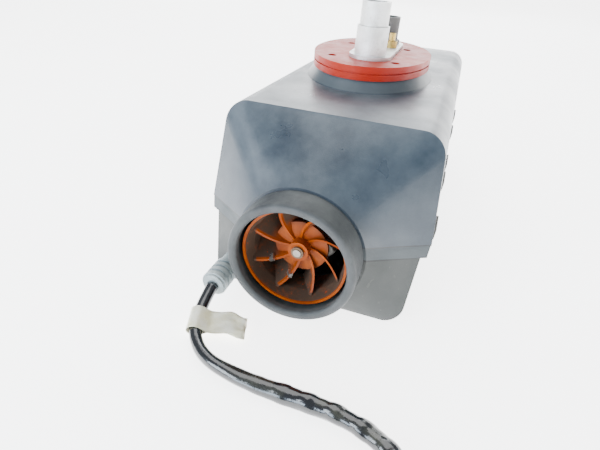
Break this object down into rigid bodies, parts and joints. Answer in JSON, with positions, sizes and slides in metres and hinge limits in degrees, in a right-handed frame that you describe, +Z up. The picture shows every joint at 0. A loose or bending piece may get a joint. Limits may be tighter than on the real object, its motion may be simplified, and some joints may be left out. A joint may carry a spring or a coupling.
{
  "type": "fuel-fired vehicle air heater",
  "caption": "Ducted fuel-fired air heater for a vehicle: boxy two-part casing with round air collars, flange seal, stubs, orange fan wheel and wiring harness.",
  "frame": {"origin": "on the floor under the middle of the casing, measured without the harness", "axes": "+X to the right seen from the air inlet, +Y along the air path from inlet to outlet, +Z up out of the mounting flange"},
  "size_m": [0.1784, 0.647, 0.177],
  "materials": {
    "casing_plastic": "matt black moulded plastic, dusty and scuffed",
    "collar_rubber": "matt black rubber",
    "seal_silicone": "orange-red silicone",
    "cast_aluminium": "as-cast aluminium",
    "steel_tube": "heat-stained steel",
    "zinc_steel": "zinc-plated steel",
    "bearing_steel": "polished bearing steel",
    "intake_plastic": "dark grey plastic",
    "brass_fitting": "brass, lightly tarnished",
    "fan_plastic": "orange plastic, dusty",
    "inner_plastic": "black plastic",
    "magnet": "ferrite",
    "copper_wire": "enamelled copper wire",
    "gasket_fibre": "grey gasket fibre",
    "ceramic_mat": "woven ceramic mat",
    "board_green": "solder-masked board",
    "component_black": "moulded component cases",
    "cable_vinyl": "black vinyl sleeve",
    "boot_rubber": "light grey rubber",
    "tag_tape": "off-white tape"
  },
  "bodies": {
    "heater": {"upper_shell": "casing_plastic", "lower_shell": "casing_plastic", "seam_latches": "inner_plastic", "inlet_collar": "collar_rubber", "outlet_collar": "collar_rubber", "flange_seal": "seal_silicone", "flange_plate": "cast_aluminium", "exchanger_neck": "cast_aluminium", "exhaust_boss": "cast_aluminium", "exhaust_pipe": "cast_aluminium", "air_intake_pipe": "intake_plastic", "fuel_pipe": "brass_fitting", "heat_exchanger": "cast_aluminium", "exchanger_gasket": "gasket_fibre", "burner_head": "cast_aluminium", "burner_tube": "steel_tube", "flame_tube": "steel_tube", "evaporator_mat": "ceramic_mat", "glow_plug": "zinc_steel", "overheat_sensor": "zinc_steel", "sensor_strap": "zinc_steel", "blower_housing": "cast_aluminium", "blower_cover": "cast_aluminium", "motor_can": "zinc_steel", "motor_end_cap": "zinc_steel", "front_bearing": "bearing_steel", "rear_bearing": "bearing_steel", "stator": "steel_tube", "motor_windings": "copper_wire", "control_unit_case": "inner_plastic", "control_board": "board_green", "board_components": "component_black", "unit_bracket": "cast_aluminium", "harness_cable": "cable_vinyl", "cable_boot": "boot_rubber", "cable_tag": "tag_tape", "harness_coil": "cable_vinyl", "harness_plug": "component_black", "burner_screws": "zinc_steel", "blower_screws": "zinc_steel"},
    "rotor": {"hot_air_impeller": "fan_plastic", "impeller_nut": "zinc_steel", "motor_shaft": "bearing_steel", "rotor_magnet": "magnet", "combustion_wheel": "inner_plastic", "balance_clips": "zinc_steel"}
  },
  "joints": [
    {"name": "fan_spin", "type": "hinge", "parent": "heater", "child": "rotor", "pos_m": [-0.003, -0.15, 0.0446], "axis": [0, 1, 0], "continuous": true}
  ]
}
